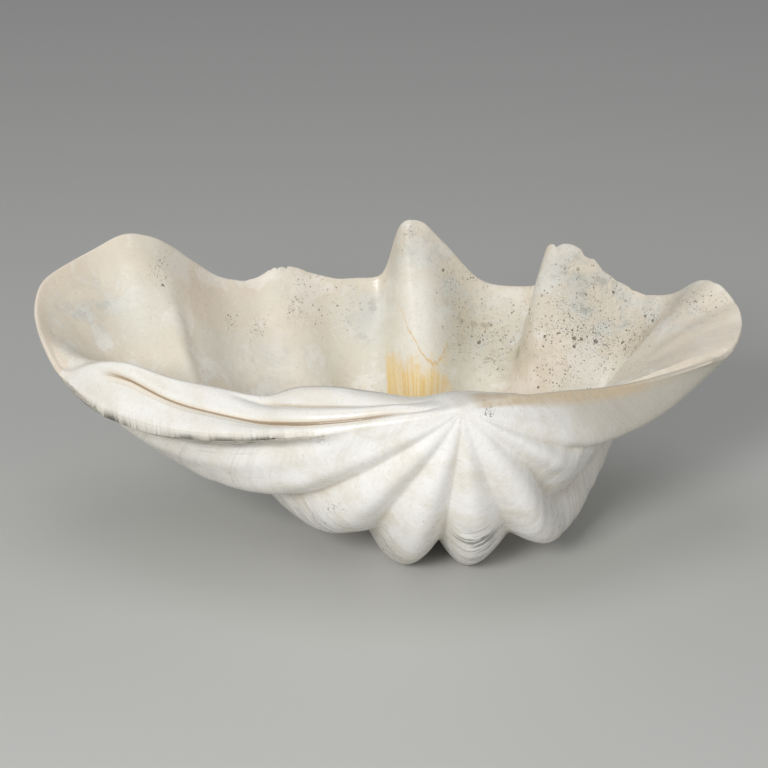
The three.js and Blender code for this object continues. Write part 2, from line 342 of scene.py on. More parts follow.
def towards_rim(end, fan, reach):
    """How a folded surface is bent so that it ends on the rim."""
    gentle, steep = rim(fan, 0.0), rim(fan, 1.0)
    bend = (ease(*GENTLE_BEND, reach) ** BEND_POWER)[..., None]
    sharpen = (ease(*STEEP_BEND, reach) ** BEND_POWER)[..., None]
    return (gentle - end) * bend + (steep - gentle) * sharpen


def outside(fan, reach):
    """The outer surface."""
    fan, reach = np.broadcast_arrays(fan, reach)
    last = np.ones_like(reach)
    under = UNDERCUT_DEPTH * np.exp(-((fan - UNDERCUT_FAN) / UNDERCUT_WIDTH) ** 2)
    under = under * between(UNDERCUT_STARTS, UNDERCUT_ENDS, reach)
    push = (groove_depth(fan, reach) + under)[..., None]
    point = plain_outside(fan, reach) + inward(plain_outside, fan, reach) * push
    end = plain_outside(fan, last)
    end = end + inward(plain_outside, fan, last) * groove_depth(fan, last)[..., None]
    point = point + towards_rim(end, fan, reach)
    point[..., 2] = np.maximum(point[..., 2], FLOOR)
    return point


def inside_folded(fan, reach):
    """The inner surface before its left edge meets the hinge plate and its right the lip."""
    last = np.ones_like(reach)
    plain = inward(plain_inside, fan, reach)
    share = ease(0.5, 0.85, reach)[..., None]
    strayed = fan - curve(RIDGE_STRAY, 1, fan) * (1 - ease(*STRAY_FADE, reach))
    height = ridge_height(strayed, reach) * (0.5 + 0.5 * ease(0.15, 0.7, reach))
    point = plain_inside(fan, reach) + plain * height[..., None]
    wall = RIM_WALL * ease(*WALL_GROWS, reach) * (1 - RIM_THINNING * ease(*RIM_THINS, reach))
    point = point + (plain * (1 - share) + inward(outside, fan, reach) * share) * wall[..., None]
    end = plain_inside(fan, last)
    end = end + inward(plain_inside, fan, last) * ridge_height(fan, last)[..., None]
    return point + towards_rim(end, fan, reach)


def inside(fan, reach):
    """The inner surface."""
    fan, reach = np.broadcast_arrays(fan, reach)
    first = np.zeros_like(reach)
    opened = ease(*WALL_GROWS, reach)[..., None]
    left = curve(PLATE, 1, reach) - inside_folded(first, reach)
    lip = outside(first + LAST_FAN, reach) + np.array([0, RIM_WALL, 0]) * opened
    right = lip + (HINGE - BEAK) * (1 - opened) - inside_folded(first + LAST_FAN, reach)
    left_share = 1 - ease(0.0, 0.55, fan) ** 0.8
    right_share = ease(6.0, LAST_FAN, fan)
    return inside_folded(fan, reach) + left * left_share[..., None] + right * right_share[..., None]


def plate_relief(reach, share, ligament, tooth):
    """Height over the plain hinge plate."""
    strip = STRIP_HEIGHT * np.sin(np.pi * np.clip(share / ligament, 0, 1))
    over_ridge = np.clip((share - ligament) / (tooth - ligament), 0, 1)
    past_tooth = np.clip((share - tooth) / (1 - tooth), 0, 1)
    toothed = 1 - ease(*TOOTH_ENDS, reach)
    ridge = RIDGE_HEIGHT * np.sin(np.pi * over_ridge) ** 0.7
    table = TABLE_HEIGHT * (1 - (1 - over_ridge) ** 2.6) * np.sqrt(1 - past_tooth ** 2)
    cushion = TOOTH_HEIGHT * np.sin(0.65 * np.pi * past_tooth) ** 0.8
    height = strip + (ridge + cushion) * toothed + table * (1 - toothed)
    return height * between(RELIEF_STARTS, RELIEF_ENDS, reach)


def lattice_value(x, y, z, seed):
    """A fixed number from -1 to 1 for each whole-numbered point."""
    n = (x * 73856093) ^ (y * 19349663) ^ (z * 83492791) ^ (seed * 104729)
    n = ((n ^ (n >> 13)) * 1274126177) & 0xFFFFFFFF
    n = ((n ^ (n >> 15)) * 2246822519) & 0xFFFFFFFF
    return ((n ^ (n >> 16)) & 0xFFFF) / 32767.5 - 1.0


def noise(points, seed):
    """Smooth noise from -1 to 1, with one lump to each unit."""
    cell = np.floor(points).astype(np.int64)
    f = points - cell
    f = f * f * (3 - 2 * f)
    total = np.zeros(points.shape[:-1])
    for dx in (0, 1):
        for dy in (0, 1):
            for dz in (0, 1):
                corner = lattice_value(cell[..., 0] + dx, cell[..., 1] + dy, cell[..., 2] + dz, seed)
                weight = np.abs(1 - dx - f[..., 0]) * np.abs(1 - dy - f[..., 1])
                total = total + corner * weight * np.abs(1 - dz - f[..., 2])
    return total


def stack(*parts):
    """Columns of numbers side by side, as points."""
    return np.stack(np.broadcast_arrays(*parts), -1)


def lumps(points, table):
    """Lumps of several sizes."""
    return sum(height * noise(points / size, seed) for size, height, seed in table)


def near(points, centre, radius):
    """1 at the centre, fading to 0 round it."""
    away = (points - np.array(centre, float)) / np.array(radius, float)
    return np.exp(-np.sum(away * away, axis=-1))


def chipped(fan, reach):
    """The reach with the rim's small chips taken off."""
    chip = SMALL_CHIPS * np.maximum(0, noise(stack(fan * 9, 0.0, 0.0), 11) - 0.25)
    for at, wide, deep in CHIPS:
        ragged = np.maximum(0, noise(stack(fan * 30, at, 0.0), 12))
        chip = chip + deep * np.exp(-((fan - at) / wide) ** 2) * ragged
    return reach * (1 - chip)


def frayed_share(fan, reach):
    """Where the hinge plate's left edge is frayed into thin leaves."""
    return (1 - ease(*FRAYED_FAN, fan)) * between(FRAYED_STARTS, FRAYED_ENDS, reach)


def outer_detail(fan, reach, points):
    """Growth steps, lumps and leaves of the outside, in millimetres along its normal."""
    line = reach * GROWTH_STEPS + GROWTH_WANDER * noise(stack(fan * 2.1, reach * 3, 0.0), 21)
    growth = GROWTH_HEIGHT * noise(stack(line, fan * 0.7, 0.0), 22)
    growth = growth + FINE_GROWTH_HEIGHT * noise(stack(line * 2.1, fan * 1.3, 0.0), 23)
    leaves = LEAF_HEIGHT * noise(stack(reach * 22 - fan * 70, reach * 10, 0.0), 26)
    leaves = leaves + LONG_LEAF_HEIGHT * noise(stack(fan * 80, reach * 7, 0.0), 27)
    rough = ease(0.16, 0.42, reach) * (1 - 0.8 * ease(5.6, 6.6, fan))
    plain = growth * (0.2 + 0.8 * rough) + lumps(points, OUTER_LUMPS) * (0.35 + 0.65 * rough)
    return plain + leaves * frayed_share(fan, reach)


def inner_detail(fan, reach, points):
    """The first ridge's crest and the lumps of the inside, in millimetres along its normal."""
    along = CREST_FAN + CREST_SLOPE * (reach - CREST_REACH)
    crest = CREST_HEIGHT * np.exp(-((fan - along) / CREST_WIDTH) ** 2)
    return crest * between((0.66, 0.8), (0.88, 0.97), reach) + lumps(points, INNER_LUMPS)


def plate_cuts(marks):
    """Depth in millimetres of the ligament groove and of the line beside it."""
    ligament, reach = marks["ligament"], marks["reach"]
    groove = CUT_DEPTH * np.exp(-(ligament / CUT_WIDTH) ** 2) * (1 - ease(0.74, 0.86, reach))
    line = LINE_DEPTH * np.exp(-((ligament - LINE_AT) / LINE_WIDTH) ** 2) * ease(0.12, 0.3, reach)
    return (groove + line) * marks["plate"]


# place, radius and strength of soft spots on the surface, in millimetres
INNER_PITS = [
    ((205, 120, 165), (62, 40, 48), 1.0),
    ((268, 92, 160), (40, 40, 34), 0.7),
    ((190, 78, 112), (24, 30, 18), 0.7),
    ((106, 152, 130), (34, 30, 34), 0.7),
    ((84, 174, 180), (30, 30, 40), 0.45),
    ((28, 178, 238), (16, 20, 16), 0.35),
    ((-228, 104, 224), (8, 16, 14), 2.5),
    ((-91, 156, 167), (8, 14, 10), 2.5),
    ((-50, 160, 166), (26, 30, 22), 0.6),
    ((318, 62, 206), (30, 26, 12), 1.0),
    ((-158, 120, 160), (7, 12, 7), 1.6),
    ((-130, 130, 150), (7, 12, 7), 1.6),
    ((-190, 46, 150), (4, 8, 4), 2.0),
    ((-56, 85, 93), (7, 12, 7), 1.0),
    ((-70, 170, 186), (14, 20, 8), 1.0),
]
OUTER_PITS = [
    ((-59, -188, 159), (7, 10, 4), 2.5),
    ((97, -182, 186), (4, 6, 3), 2.5),
    ((-46, -157, 80), (7, 10, 6), 2.0),
    ((34, -179, 76), (6, 8, 6), 0.6),
    ((-67, -131, 51), (20, 20, 8), 0.6),
    ((168, -120, 40), (12, 14, 10), 0.6),
    ((255, -90, 110), (18, 20, 12), 0.7),
]
MOST_PITS = 2.5
CLOUDS = [
    ((208, 152, 214), (44, 30, 24), 0.9),
    ((232, 128, 176), (46, 34, 40), 1.0),
    ((104, 154, 132), (38, 30, 40), 0.8),
    ((86, 172, 186), (34, 30, 44), 0.8),
    ((30, 180, 230), (26, 24, 24), 0.55),
    ((-22, 168, 168), (20, 30, 44), 0.8),
    ((-110, 96, 120), (60, 40, 44), 0.4),
    ((-300, 60, 200), (44, 50, 30), 0.45),
    ((310, 50, 196), (40, 40, 26), 0.45),
    ((-228, 104, 232), (30, 30, 20), 0.4),
]
DIRT = [
    ((104, 150, 126), (40, 34, 24), 1.0),
    ((84, 166, 160), (26, 30, 40), 0.7),
    ((66, 150, 190), (18, 30, 24), 0.4),
    ((150, 120, 120), (30, 30, 30), 0.6),
    ((262, 96, 150), (34, 30, 26), 0.7),
    ((206, 130, 190), (34, 30, 30), 0.5),
    ((-36, 170, 180), (14, 26, 22), 0.5),
]
WARM = [
    ((-200, 110, 190), (40, 40, 40), 0.7),
    ((-100, 150, 150), (50, 40, 40), 0.6),
    ((150, 90, 110), (60, 40, 30), 0.6),
    ((190, 120, 150), (24, 30, 24), 0.4),
    ((330, 30, 180), (40, 40, 40), 0.8),
    ((330, -40, 180), (50, 40, 30), 0.6),
]
GROWTH_STAIN = [
    ((90, -168, 44), (26, 26, 14), 1.5),
    ((92, -140, 16), (30, 30, 14), 0.6),
    ((-70, -120, 44), (60, 50, 22), 0.5),
    ((8, -130, 4), (40, 50, 18), 0.5),
]
SCRATCHED = [
    ((-176, -130, 118), (26, 26, 22), 1.0),
    ((-130, -150, 120), (36, 26, 26), 0.7),
]
# the amber stain inside: its left and right edges along X and its top along Z, and its reach
STAIN_LEFT = (-4, 8)
STAIN_RIGHT = (48, 78)
STAIN_TOP = (98, 142)
STAIN_REACH = (0.4, 0.74)
# a whiter patch above it
PATCH_LEFT = (0, 24)
PATCH_RIGHT = (46, 70)
PATCH_FOOT = (96, 128)
PATCH_TOP = (186, 214)
PATCH_REACH = (0.6, 0.8)
# the margin of the rim, and the tan lip of the right hinge edge, whose tan is partly the shell's own and
# partly painted shade under the lip
MARGIN_REACH = (0.955, 0.985)
LIP_FAN = (6.82, 6.95)


def spots(points, table, most=1.0):
    """The sum of soft spots."""
    total = np.zeros(len(points))
    for centre, radius, strength in table:
        total = total + strength * near(points, centre, radius)
    return np.minimum(total, most)


def stained(points):
    """Where the amber stain lies, as seen along Y."""
    x, z = points[:, 0], points[:, 2]
    wavy = 7 * noise(points / 14, 41) + 3 * noise(points / 5, 42)
    sides = ease(*STAIN_LEFT, x + 0.4 * wavy) * (1 - ease(*STAIN_RIGHT, x + wavy))
    return sides * (1 - ease(*STAIN_TOP, z + 1.2 * wavy))


def surface_marks(marks, points):
    """Adds shares of stain, cloud, pits and the like at each vertex, for the material."""
    fan, reach, layer = marks["fan"], marks["reach"], marks["layer"]
    inner = ease(0.6, 1.0, layer)
    outer = 1 - ease(0.0, 0.4, layer)
    whiter_patch = between(PATCH_LEFT, PATCH_RIGHT, points[:, 0])
    whiter_patch = whiter_patch * between(PATCH_FOOT, PATCH_TOP, points[:, 2])
    # the tan lip band, partly the shell's own colour and partly painted shade under the lip
    lip = ease(*LIP_FAN, fan) * between((0.03, 0.1), (0.66, 0.9), reach)
    inner_pits = inner * spots(points, INNER_PITS, MOST_PITS)
    marks["pits"] = inner_pits + outer * spots(points, OUTER_PITS, MOST_PITS)
    marks["clouds"] = inner * spots(points, CLOUDS)
    marks["dirt"] = inner * spots(points, DIRT)
    marks["warm"] = inner * spots(points, WARM)
    marks["stain"] = inner * stained(points) * ease(*STAIN_REACH, reach)
    marks["whiter_patch"] = inner * whiter_patch * ease(*PATCH_REACH, reach)
    marks["margin"] = ease(*MARGIN_REACH, reach) * (0.3 + 0.7 * (1 - ease(0.4, 0.8, fan)))
    marks["lip"] = lip * (1 - ease(0.5, 0.75, layer))
    marks["frayed"] = frayed_share(fan, reach) * (1 - ease(0.1, 0.3, layer))
    marks["growth_stain"] = outer * spots(points, GROWTH_STAIN)
    marks["scratched"] = outer * spots(points, SCRATCHED)


def group(points, fan, reach, layer, plate=0.0, ligament=OFF_PLATE, tooth=OFF_PLATE):
    """Vertices with their place on the shell: layer is 0 outside and 1 inside, plate is the
    share of hinge plate, and ligament and tooth are distances from the plate's grooves."""
    places = {
        "fan": fan,
        "reach": reach,
        "layer": layer,
        "plate": plate,
        "ligament": ligament,
        "tooth": tooth,
    }
    marks = {name: np.broadcast_to(np.asarray(value, float), len(points)) for name, value in places.items()}
    return points, marks


def mesh_reaches(step, fan):
    """The reach of the outside and of the inside at each step."""
    outer_reach = step ** REACH_POWER
    crowded = np.interp(step, *INNER_STEPS)
    inner_reach = outer_reach + (crowded - outer_reach) * between((0, 0.5), (6.5, LAST_FAN), fan)
    return outer_reach, inner_reach


def surface_faces(at, order):
    """The faces of one surface's grid of point numbers, whose first column is its tip."""
    corners = (at[:-1, :-1], at[1:, :-1], at[1:, 1:], at[:-1, 1:])
    quads = np.stack([corners[k] for k in order], -1)
    tip = [list(dict.fromkeys(quad)) for quad in quads[:, 0].tolist()]
    return quads[:, 1:].reshape(-1, 4).tolist() + tip


def edge_loop(outer_at, inner_at, fans, reaches):
    """Once round the edges of both surfaces, by the hinge plate, the right lip and the rim: the
    point numbers outside and inside, the fan and reach, and 1 on the plate."""
    steps = range(1, REACH_STEPS + 1)
    loop = [(outer_at[0, j], inner_at[0, j], 0.0, reaches[j - 1], 1.0) for j in reversed(steps)]
    loop.append((0, 1, 0.0, 0.0, 1.0))
    loop += [(outer_at[-1, j], inner_at[-1, j], LAST_FAN, reaches[j - 1], 0.0) for j in steps]
    loop += [(outer_at[i, -1], inner_at[i, -1], fans[i], 1.0, 0.0) for i in range(FAN_STEPS - 1, 0, -1)]
    return [np.array(column) for column in zip(*loop)]


def band_shares(ligament, tooth):
    """How far across the band each of its rows lies."""
    stops = [0 * ligament, ligament, tooth, 0 * ligament + 1]
    shares = []
    for low, high, part, crowd in zip(stops[:-1], stops[1:], PLATE_ROWS, PLATE_CROWDING):
        shares += [low + (high - low) * crowd(k / part) for k in range(part)]
    return shares[1:]


def band_groups(a, b, fan, reach, on_plate):
    """The rows of points between the outside's edge a and the inside's edge b."""
    along = np.roll(a + b, -1, 0) - np.roll(a + b, 1, 0)
    across = b - a
    up = unit(np.cross(unit(along), unit(across)))
    width = np.linalg.norm(across, axis=1)
    plate_reach = reach * on_plate
    ligament, tooth = curve(PLATE, 2, plate_reach), curve(PLATE, 3, plate_reach)
    groups = []
    for at in band_shares(ligament, tooth):
        rounding = np.minimum(width * EDGE_SHARE, EDGE_ROUND)
        lift = np.sqrt(np.maximum(1 - (2 * at - 1) ** 2, 0)) * rounding
        lift = lift + on_plate * plate_relief(plate_reach, at, ligament, tooth)
        groups.append(group(
            a + across * at[:, None] + up * lift[:, None],
            fan,
            reach,
            at,
            on_plate * ease(0.03, 0.16, reach) * np.sin(np.pi * np.clip(at * 4, 0, 0.5)),
            np.where(on_plate > 0, (at - ligament) * width, OFF_PLATE),
            np.where(on_plate > 0, (at - tooth) * width, OFF_PLATE),
        ))
    return groups


def shell_arrays():
    """Vertices, faces and what the material needs to know at each vertex."""
    share = np.linspace(0, 1, FAN_STEPS + 1)
    fans = np.interp(share, [0, EDGE_STEPS / FAN_STEPS, 1], [0, EDGE_FAN, LAST_FAN])
    steps = np.arange(1, REACH_STEPS + 1) / REACH_STEPS
    fan, step = np.meshgrid(fans, steps, indexing="ij")
    outer_reach, inner_reach = mesh_reaches(step, fan)
    outer = outside(fan, chipped(fan, outer_reach)).reshape(-1, 3)
    inner = inside(fan, chipped(fan, inner_reach)).reshape(-1, 3)
    groups = [
        group(np.array([BEAK, HINGE]), LAST_FAN / 2, 0.0, [0, 1]),
        group(outer, fan.ravel(), outer_reach.ravel(), 0.0),
        group(inner, fan.ravel(), inner_reach.ravel(), 1.0),
    ]

    beak_column = np.zeros((FAN_STEPS + 1, 1), int)
    outer_grid = 2 + np.arange(len(outer)).reshape(fan.shape)
    outer_at = np.concatenate([beak_column, outer_grid], 1)
    inner_at = np.concatenate([beak_column + 1, outer_grid + len(outer)], 1)
    faces = surface_faces(outer_at, (3, 2, 1, 0)) + surface_faces(inner_at, (0, 1, 2, 3))

    outer_loop, inner_loop, loop_fan, loop_reach, on_plate = edge_loop(
        outer_at, inner_at, fans, outer_reach[0])
    points = np.concatenate([points for points, _ in groups])
    bands = band_groups(points[outer_loop], points[inner_loop], loop_fan, loop_reach, on_plate)
    rings = [outer_loop]
    rings += [len(points) + k * len(outer_loop) + np.arange(len(outer_loop)) for k in range(len(bands))]
    rings.append(inner_loop)
    for low, high in zip(rings[:-1], rings[1:]):
        faces += np.stack([low, np.roll(low, -1), np.roll(high, -1), high], -1).tolist()

    groups += bands
    names = groups[0][1]
    marks = {name: np.concatenate([part[name] for _, part in groups]) for name in names}
    return np.concatenate([points for points, _ in groups]), faces, marks


def softened_beak(points, marks):
    """The outer surface with its grooves filled in close to the beak."""
    fan, reach = marks["fan"], marks["reach"]
    fill = groove_depth(fan, reach) * BEAK_FILL * (1 - ease(*BEAK_FILL_FADE, reach)) * (marks["layer"] == 0)
    return points - inward(plain_outside, fan, reach) * fill[:, None]


def four_cornered(faces):
    """The faces as rows of four, in which a triangle repeats its last corner."""
    return np.array([face if len(face) == 4 else face + [face[2]] for face in faces])


def worn_smooth(points, faces, weight):
    """Evens out the surface where weight is above 0."""
    quads = four_cornered(faces)
    edges = np.concatenate([quads[:, (k, (k + 1) % 4)] for k in range(4)])
    edges = edges[(edges[:, 0] != edges[:, 1]) & (weight[edges[:, 0]] > 0.01)]
    count = np.zeros(len(points))
    np.add.at(count, edges[:, 0], 1)
    for _ in range(WORN_ROUNDS):
        total = np.zeros_like(points)
        np.add.at(total, edges[:, 0], points[edges[:, 1]])
        middle = total / np.maximum(count, 1)[:, None]
        points = np.where(count[:, None] > 0, points + (middle - points) * weight[:, None], points)
    return points


def vertex_normals(points, faces):
    """Unit normals, averaged over the faces round each vertex."""
    quads = four_cornered(faces)
    p = points[quads]
    n = np.cross(p[:, 2] - p[:, 0], p[:, 3] - p[:, 1])
    short = quads[:, 3] == quads[:, 2]
    n[short] = np.cross(p[short, 1] - p[short, 0], p[short, 2] - p[short, 0])
    total = np.zeros_like(points)
    for k in range(4):
        np.add.at(total, quads[:, k], n)
    return unit(total)


def shell_form():
    """The finished vertices in metres, the faces and the marks."""
    points, faces, marks = shell_arrays()
    points = softened_beak(points, marks)
    fan, reach, layer = marks["fan"], marks["reach"], marks["layer"]
    worn = 1.6 * near(points, WORN_END, WORN_RADIUS)
    worn = worn + 0.8 * ease(0.955, 0.975, reach) * (1 - ease(0.5, 1.1, fan))
    points = worn_smooth(points, faces, np.where(worn > 0.05, np.minimum(1, worn), 0))
    surface_marks(marks, points)
    normals = vertex_normals(points, faces)
    detail = outer_detail(fan, reach, points) * (1 - layer) + inner_detail(fan, reach, points) * layer
    detail = detail * ease(0, 0.06, reach) * (1 - 0.7 * marks["plate"])
    points = points + normals * (detail - plate_cuts(marks))[:, None]
    points = np.clip((points + TO_FRAME) * MM, np.array(cad_box[0]), np.array(cad_box[1]))
    return points, faces, marks


def build_shell(material):
    """The valve as one closed mesh."""
    points, faces, marks = shell_form()
    mesh = bpy.data.meshes.new("clam_shell")
    mesh.from_pydata(points.tolist(), [], faces)
    for name, values in marks.items():
        attribute = mesh.attributes.new(name, "FLOAT", "POINT")
        attribute.data.foreach_set("value", values.astype(np.float32))
    mesh.polygons.foreach_set("use_smooth", np.ones(len(mesh.polygons), bool))
    mesh.materials.append(material)
    mesh.update()
    shell = bpy.data.objects.new("clam_shell", mesh)
    bpy.context.scene.collection.objects.link(shell)
    return shell


class Nodes:
    """Short names for the shader nodes that the materials use."""

    def __init__(self, material):
        material.use_nodes = True
        self.tree = material.node_tree
        self.tree.nodes.clear()

    def put(self, socket, value):
        """Links a node's output to a socket, or sets its value."""
        if isinstance(value, bpy.types.NodeSocket):
            self.tree.links.new(value, socket)
        else:
            socket.default_value = value

    def mark(self, name):
        """One of the shell's marks."""
        node = self.tree.nodes.new("ShaderNodeAttribute")
        node.attribute_name = name
        return node.outputs["Fac"]

    def math(self, kind, a, b=0.0, c=0.0):
        node = self.tree.nodes.new("ShaderNodeMath")
        node.operation = kind
        for socket, value in zip(node.inputs, (a, b, c)):
            self.put(socket, value)
        return node.outputs[0]

    def times(self, a, b):
        return self.math("MULTIPLY", a, b)

    def step(self, value, low, high, out_low=0.0, out_high=1.0):
        """A smooth step from out_low at low to out_high at high."""
        node = self.tree.nodes.new("ShaderNodeMapRange")
        node.interpolation_type = "SMOOTHSTEP"
        for socket, number in zip(node.inputs, (value, low, high, out_low, out_high)):
            self.put(socket, number)
        return node.outputs[0]

    def mix(self, share, a, b):
        node = self.tree.nodes.new("ShaderNodeMix")
        node.data_type = "RGBA"
        node.clamp_factor = True
        self.put(node.inputs["Factor"], share)
        self.put(node.inputs[6], a)
        self.put(node.inputs[7], b)
        return node.outputs[2]

    def place(self):
        return self.tree.nodes.new("ShaderNodeTexCoord").outputs["Object"]

    def join(self, x, y, z):
        node = self.tree.nodes.new("ShaderNodeCombineXYZ")
        for socket, value in zip(node.inputs, (x, y, z)):
            self.put(socket, value)
        return node.outputs[0]

    def noise(self, vector, scale, detail=3.0, rough=0.5, twist=0.0):
        node = self.tree.nodes.new("ShaderNodeTexNoise")
        self.put(node.inputs["Vector"], vector)
        settings = {"Scale": scale, "Detail": detail, "Roughness": rough, "Distortion": twist}
        for name, value in settings.items():
            self.put(node.inputs[name], value)
        return node.outputs["Fac"]

    def cells(self, vector, scale):
        """Distance to the nearest of many scattered points, and two numbers of its own for each."""
        node = self.tree.nodes.new("ShaderNodeTexVoronoi")
        self.put(node.inputs["Vector"], vector)
        self.put(node.inputs["Scale"], scale)
        split = self.tree.nodes.new("ShaderNodeSeparateColor")
        self.tree.links.new(node.outputs["Color"], split.inputs[0])
        return node.outputs["Distance"], split.outputs[0], split.outputs[1]

    def bent(self, vector, scale, far, offset):
        """The place, moved by an offset and shaken by noise."""
        shake = self.tree.nodes.new("ShaderNodeTexNoise")
        self.put(shake.inputs["Vector"], vector)
        self.put(shake.inputs["Scale"], scale)
        shaken = self.tree.nodes.new("ShaderNodeVectorMath")
        shaken.operation = "MULTIPLY_ADD"
        self.put(shaken.inputs[0], shake.outputs["Color"])
        shaken.inputs[1].default_value = (far, far, far)
        self.put(shaken.inputs[2], vector)
        moved = self.tree.nodes.new("ShaderNodeVectorMath")
        moved.operation = "ADD"
        self.put(moved.inputs[0], shaken.outputs[0])
        moved.inputs[1].default_value = offset
        return moved.outputs[0]

    def pits(self, vector, scale, amount, size):
        """Round holes where their own number is below amount."""
        away, chance, girth = self.cells(vector, scale)
        radius = self.step(girth, 0.0, 1.0, 0.45 * size, size)
        hole = self.step(self.math("DIVIDE", away, radius), 0.75, 1.15, 1.0, 0.0)
        return self.times(hole, self.step(self.math("SUBTRACT", amount, chance), 0.0, 0.05))

    def bump(self, height):
        """Height in millimetres as a change of normal."""
        node = self.tree.nodes.new("ShaderNodeBump")
        node.inputs["Distance"].default_value = MM
        self.put(node.inputs["Height"], height)
        return node.outputs[0]

    def surface(self, **inputs):
        """The one shader of the material."""
        shader = self.tree.nodes.new("ShaderNodeBsdfPrincipled")
        for name, value in inputs.items():
            self.put(shader.inputs[name.replace("_", " ")], value)
        output = self.tree.nodes.new("ShaderNodeOutputMaterial")
        self.tree.links.new(shader.outputs[0], output.inputs["Surface"])


def rgb(*values):
    """A colour in linear light from its 0 to 255 values."""
    return tuple(((v / 255 + 0.055) / 1.055) ** 2.4 for v in values) + (1.0,)


# inside
CREAM = rgb(226, 215, 197)
PALE_CREAM = rgb(225, 222, 208)
CHALK = rgb(238, 235, 226)
BRIGHT_CHALK = rgb(242, 239, 231)
DULL_CREAM = rgb(203, 196, 180)
WARM_CREAM = rgb(229, 211, 190)
CLOUD_GREY = rgb(186, 188, 181)
SPECKLE_GREY = rgb(150, 150, 142)
DIRT_TAN = rgb(193, 183, 160)
DIRT_BROWN = rgb(163, 153, 132)
PATCH_WHITE = rgb(240, 236, 224)
AMBER = rgb(232, 196, 124)
PALE_AMBER = rgb(240, 222, 180)
WATER_YELLOW = rgb(226, 186, 112)
# outside
OUTER_WHITE = rgb(246, 244, 239)
OUTER_CREAM = rgb(233, 228, 217)
RIMWARD_CREAM = rgb(222, 215, 201)
# taupe of the growth lines, and of the right end, where it is partly painted shade
DULL_AND_SHADE_TAUPE = rgb(190, 184, 170)
# painted shade in the grooves between the ribs
GROOVE_SHADE_TAN = rgb(206, 194, 172)
ARC_GREY = rgb(118, 120, 110)
# partly the lip's own tan, partly painted shade under it
LIP_TAN_AND_SHADE = rgb(208, 189, 158)
FRAYED_CREAM = rgb(216, 211, 198)
FRAYED_SHADE = rgb(132, 127, 114)
SCRATCH_GREY = rgb(150, 144, 130)
MARGIN_CREAM = rgb(226, 211, 190)
# hinge plate
PLATE_WHITE = rgb(236, 234, 227)
PLATE_CREAM = rgb(230, 224, 212)
LIGAMENT_TAN = rgb(228, 208, 176)
# dark line of the ligament groove, partly painted shadow
LIGAMENT_SHADOW_BROWN = rgb(150, 124, 92)
LINE_TAN = rgb(190, 170, 142)
TOOTH_TAN = rgb(205, 180, 145)
# everywhere
SMUDGE = rgb(172, 164, 148)
GRAIN_TAN = rgb(188, 178, 160)
PIT_BROWN = rgb(112, 103, 88)
FLOOR_GREY = rgb(196, 196, 192)

# lines along the hinge plate: distance from the ligament groove and half width in mm, strength
PLATE_LINES = [
    (-1.0, 6.0, 0.4, LIGAMENT_TAN),
    # the dark line in the ligament groove is partly painted shadow under the ridge's step
    (0.0, 1.3, 0.85, LIGAMENT_SHADOW_BROWN),
    (LINE_AT, 1.2, 0.3, LINE_TAN),
]
# the contour of an old water level over the stain: fan and reach of its lowest point, how fast
# it curves up, how ragged it is, half its width in reach, strength, and its ends across the fan
WATER_FAN = 3.06
WATER_REACH = 0.831
WATER_CURVE = 4.2
WATER_RAGGED = 0.034
WATER_EDGE = (0.0008, 0.0035)
WATER_STRENGTH = 0.65
WATER_LEFT = (2.90, 2.94)
WATER_RIGHT = (3.16, 3.2)
# pits of three sizes: cells to a metre, scale and reach of the noise that bends them, offset,
# share of the amount, size as a share of the cell, depth
PIT_SIZES = [
    (135, 190, 0.0045, (0, 0, 0), 0.7, 0.27, 1.0),
    (330, 420, 0.002, (3.1, 1.7, 0.9), 1.2, 0.3, 0.75),
    (620, 900, 0.001, (5.3, 2.9, 4.1), 1.5, 0.34, 0.45),
]
# share of the cells that are pitted where no spot says more
PITS_EVERYWHERE = 0.012
# heights of the bump in mm
GRAIN_BUMP = 0.34
LINE_BUMP = 0.35
LEAF_BUMP = 2.4
PIT_BUMP = -1.1
MARKS = (
    "fan",
    "reach",
    "layer",
    "plate",
    "ligament",
    "tooth",
    "pits",
    "clouds",
    "dirt",
    "warm",
    "stain",
    "whiter_patch",
    "margin",
    "lip",
    "frayed",
    "growth_stain",
    "scratched",
)


def noise_fields(n, m):
    """The noises that several colours share."""
    place = n.place()
    rays = n.join(n.times(m["fan"], 14), n.times(m["reach"], 2.2), 0.0)
    fine_rays = n.join(n.times(m["fan"], 70), n.times(m["reach"], 3.5), 3.0)
    growth = n.join(n.times(m["reach"], 90), n.times(m["fan"], 1.2), 7.0)
    return {
        "place": place,
        "broad": n.noise(place, 9, 3, 0.5, 0.3),
        "cloudy": n.noise(place, 26, 4, 0.6, 0.5),
        "mottled": n.noise(place, 75, 5, 0.65, 0.2),
        "grain": n.noise(place, 420, 2, 0.5),
        "smudge": n.noise(place, 150, 4, 0.7, 0.8),
        "rays": n.noise(rays, 1.0, 3, 0.6),
        "fine_rays": n.noise(fine_rays, 1.0, 2, 0.6),
        "growth": n.noise(growth, 1.0, 3, 0.6, 0.4),
        "leaves": leaf_noise(n, m),
    }


def leaf_noise(n, m):
    """Thin leaves that lie aslant along the frayed edge."""
    aslant = n.math("MULTIPLY_ADD", m["reach"], 30, n.times(m["fan"], -150))
    return n.noise(n.join(aslant, n.times(m["reach"], 22), 5.0), 1.0, 5, 0.7, 1.2)


